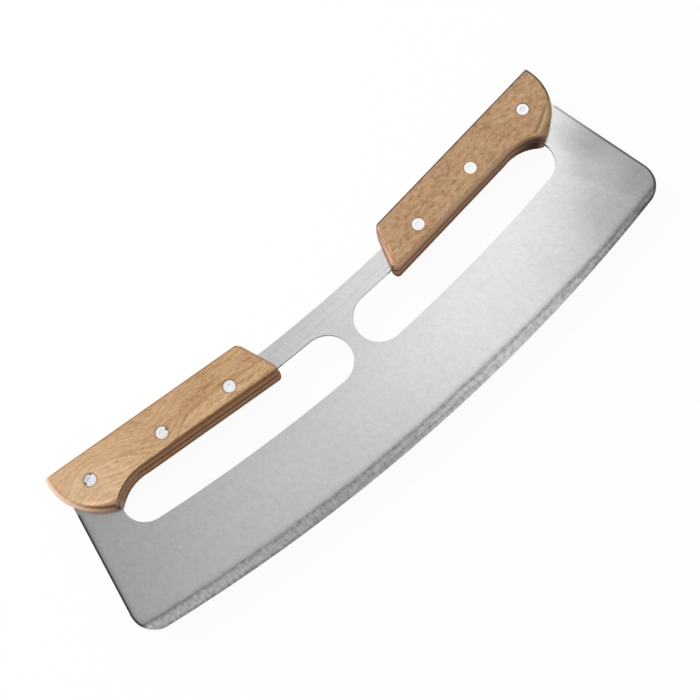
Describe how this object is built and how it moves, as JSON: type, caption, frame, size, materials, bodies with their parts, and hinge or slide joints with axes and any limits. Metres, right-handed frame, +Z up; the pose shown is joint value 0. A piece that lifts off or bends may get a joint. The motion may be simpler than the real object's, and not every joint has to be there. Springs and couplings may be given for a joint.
{
  "type": "mezzaluna rocking knife",
  "caption": "Wide rocking knife: a curved steel plate with hand slots under riveted wooden grips, worked with both hands to mince herbs or part flat bread.",
  "frame": {"origin": "middle of the bottom of the bounding box: the knife lies on the outer faces of its back scales, which are at Z = 0", "axes": "+X along the knife from its left handle to its right one, +Y from the cutting edge to the spine and the handles, +Z up through the plate's thickness to the front scales"},
  "size_m": [0.35, 0.111, 0.0195],
  "materials": {
    "steel": "satin stainless steel, finely brushed, with a brighter ground band along the edge",
    "wood": "oiled tan hardwood with fine grain along the handle",
    "rivet_metal": "bright, flush and polished"
  },
  "bodies": {
    "root": {"blade": "steel", "scale_front_left": "wood", "scale_back_left": "wood", "scale_front_right": "wood", "scale_back_right": "wood", "rivet_pin_left_inner": "rivet_metal", "rivet_tube_left_inner": "rivet_metal", "rivet_pin_left_middle": "rivet_metal", "rivet_tube_left_middle": "rivet_metal", "rivet_pin_left_outer": "rivet_metal", "rivet_tube_left_outer": "rivet_metal", "rivet_pin_right_inner": "rivet_metal", "rivet_tube_right_inner": "rivet_metal", "rivet_pin_right_middle": "rivet_metal", "rivet_tube_right_middle": "rivet_metal", "rivet_pin_right_outer": "rivet_metal", "rivet_tube_right_outer": "rivet_metal"}
  },
  "joints": []
}
